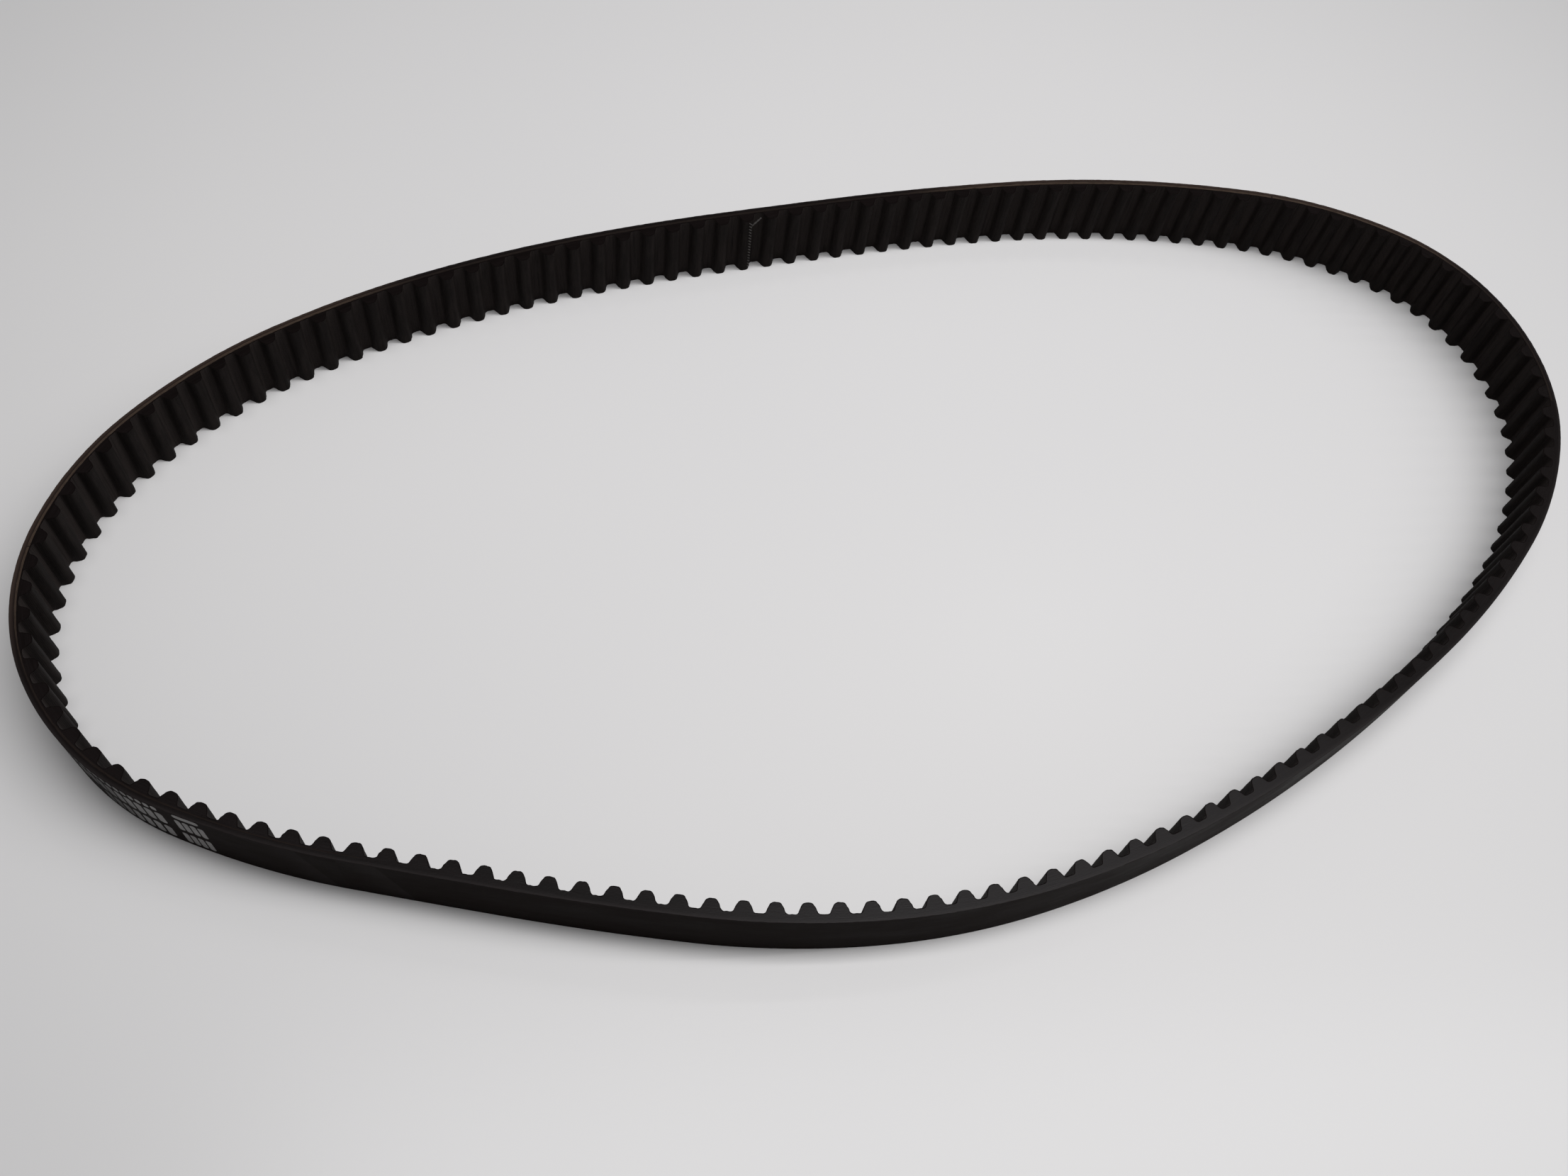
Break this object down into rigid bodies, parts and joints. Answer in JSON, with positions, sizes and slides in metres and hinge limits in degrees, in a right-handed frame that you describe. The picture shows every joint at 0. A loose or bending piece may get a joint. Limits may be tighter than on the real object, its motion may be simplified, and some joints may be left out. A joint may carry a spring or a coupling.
{
  "type": "timing belt",
  "caption": "Endless black rubber timing belt with curved teeth on the inside, standing on its cut edge in a relaxed rounded loop.",
  "frame": {"origin": "middle of the loop's bounding box, on the surface that the lower cut edge stands on", "axes": "+Z across the belt's width, upwards from the edge it stands on; +X along the long axis of the relaxed loop; +Y across the loop, towards its flatter side"},
  "size_m": [0.4561, 0.2332, 0.023],
  "materials": {
    "back_rubber": "smooth ground black rubber, satin, slightly mottled",
    "tooth_rubber": "matt knife-cut rubber",
    "tooth_fabric": "fine ribbed nylon facing fabric, matt black-brown",
    "tensile_cord": "twisted glass yarn with brown adhesive coating",
    "seam_thread": "grey sewing thread",
    "print_ink": "thin worn off-white ink"
  },
  "bodies": {
    "span_01": {"back_rubber_01": "back_rubber", "tensile_cords_01": "tensile_cord", "tooth_rubber_01": "tooth_rubber", "tooth_fabric_01": "tooth_fabric"},
    "span_02": {"back_rubber_02": "back_rubber", "tensile_cords_02": "tensile_cord", "tooth_rubber_02": "tooth_rubber", "tooth_fabric_02": "tooth_fabric"},
    "span_03": {"back_rubber_03": "back_rubber", "tensile_cords_03": "tensile_cord", "tooth_rubber_03": "tooth_rubber", "tooth_fabric_03": "tooth_fabric"},
    "span_04": {"back_rubber_04": "back_rubber", "tensile_cords_04": "tensile_cord", "tooth_rubber_04": "tooth_rubber", "tooth_fabric_04": "tooth_fabric", "fabric_seam": "seam_thread"},
    "span_05": {"back_rubber_05": "back_rubber", "tensile_cords_05": "tensile_cord", "tooth_rubber_05": "tooth_rubber", "tooth_fabric_05": "tooth_fabric"},
    "span_06": {"back_rubber_06": "back_rubber", "tensile_cords_06": "tensile_cord", "tooth_rubber_06": "tooth_rubber", "tooth_fabric_06": "tooth_fabric"},
    "span_07": {"back_rubber_07": "back_rubber", "tensile_cords_07": "tensile_cord", "tooth_rubber_07": "tooth_rubber", "tooth_fabric_07": "tooth_fabric"},
    "span_08": {"back_rubber_08": "back_rubber", "tensile_cords_08": "tensile_cord", "tooth_rubber_08": "tooth_rubber", "tooth_fabric_08": "tooth_fabric", "printed_marks": "print_ink"},
    "span_09": {"back_rubber_09": "back_rubber", "tensile_cords_09": "tensile_cord", "tooth_rubber_09": "tooth_rubber", "tooth_fabric_09": "tooth_fabric"},
    "span_10": {"back_rubber_10": "back_rubber", "tensile_cords_10": "tensile_cord", "tooth_rubber_10": "tooth_rubber", "tooth_fabric_10": "tooth_fabric"},
    "span_11": {"back_rubber_11": "back_rubber", "tensile_cords_11": "tensile_cord", "tooth_rubber_11": "tooth_rubber", "tooth_fabric_11": "tooth_fabric"},
    "span_12": {"back_rubber_12": "back_rubber", "tensile_cords_12": "tensile_cord", "tooth_rubber_12": "tooth_rubber", "tooth_fabric_12": "tooth_fabric"}
  },
  "joints": [
    {"name": "bend_02_03", "type": "hinge", "parent": "span_03", "child": "span_02", "pos_m": [0.16224, 0.09487, 0.0115], "axis": [0, 0, -1], "range_deg": [-2, 2], "stiffness_Nm_per_rad": 0.05},
    {"name": "bend_01_02", "type": "hinge", "parent": "span_02", "child": "span_01", "pos_m": [0.22577, 0.02934, 0.0115], "axis": [0, 0, -1], "range_deg": [-12, 12], "stiffness_Nm_per_rad": 0.05},
    {"name": "bend_12_01", "type": "hinge", "parent": "span_01", "child": "span_12", "pos_m": [0.19054, -0.04695, 0.0115], "axis": [0, 0, -1], "range_deg": [-8, 8], "stiffness_Nm_per_rad": 0.05},
    {"name": "bend_11_12", "type": "hinge", "parent": "span_12", "child": "span_11", "pos_m": [0.10688, -0.09322, 0.0115], "axis": [0, 0, -1], "range_deg": [-1.5, 1.5], "stiffness_Nm_per_rad": 0.05},
    {"name": "bend_10_11", "type": "hinge", "parent": "span_11", "child": "span_10", "pos_m": [0.0217, -0.11417, 0.0115], "axis": [0, 0, -1], "range_deg": [-15, 15], "stiffness_Nm_per_rad": 0.05},
    {"name": "bend_09_10", "type": "hinge", "parent": "span_10", "child": "span_09", "pos_m": [-0.07272, -0.10153, 0.0115], "axis": [0, 0, -1], "range_deg": [-6.4, 6.4], "stiffness_Nm_per_rad": 0.05},
    {"name": "bend_03_04", "type": "hinge", "parent": "span_03", "child": "span_04", "pos_m": [0.07635, 0.11277, 0.0115], "axis": [0, 0, 1], "range_deg": [-6.7, 6.7], "stiffness_Nm_per_rad": 0.05},
    {"name": "bend_04_05", "type": "hinge", "parent": "span_04", "child": "span_05", "pos_m": [-0.0196, 0.11485, 0.0115], "axis": [0, 0, 1], "range_deg": [-11.5, 11.5], "stiffness_Nm_per_rad": 0.05},
    {"name": "bend_05_06", "type": "hinge", "parent": "span_05", "child": "span_06", "pos_m": [-0.10712, 0.10684, 0.0115], "axis": [0, 0, 1], "range_deg": [-4.5, 4.5], "stiffness_Nm_per_rad": 0.05},
    {"name": "bend_06_07", "type": "hinge", "parent": "span_06", "child": "span_07", "pos_m": [-0.19502, 0.07066, 0.0115], "axis": [0, 0, 1], "range_deg": [-5.5, 5.5], "stiffness_Nm_per_rad": 0.05},
    {"name": "bend_07_08", "type": "hinge", "parent": "span_07", "child": "span_08", "pos_m": [-0.22364, -0.00688, 0.0115], "axis": [0, 0, 1], "range_deg": [-12.2, 12.2], "stiffness_Nm_per_rad": 0.05}
  ],
  "couplings": [
    {"joint": "bend_02_03", "follows": "bend_10_11", "ratio": -0.131},
    {"joint": "bend_01_02", "follows": "bend_10_11", "ratio": -0.7952},
    {"joint": "bend_12_01", "follows": "bend_10_11", "ratio": -0.5289},
    {"joint": "bend_11_12", "follows": "bend_10_11", "ratio": 0.0968},
    {"joint": "bend_09_10", "follows": "bend_10_11", "ratio": 0.4223},
    {"joint": "bend_03_04", "follows": "bend_10_11", "ratio": 0.4452},
    {"joint": "bend_04_05", "follows": "bend_10_11", "ratio": 0.7653},
    {"joint": "bend_05_06", "follows": "bend_10_11", "ratio": 0.2944},
    {"joint": "bend_06_07", "follows": "bend_10_11", "ratio": -0.3628},
    {"joint": "bend_07_08", "follows": "bend_10_11", "ratio": -0.8057}
  ]
}
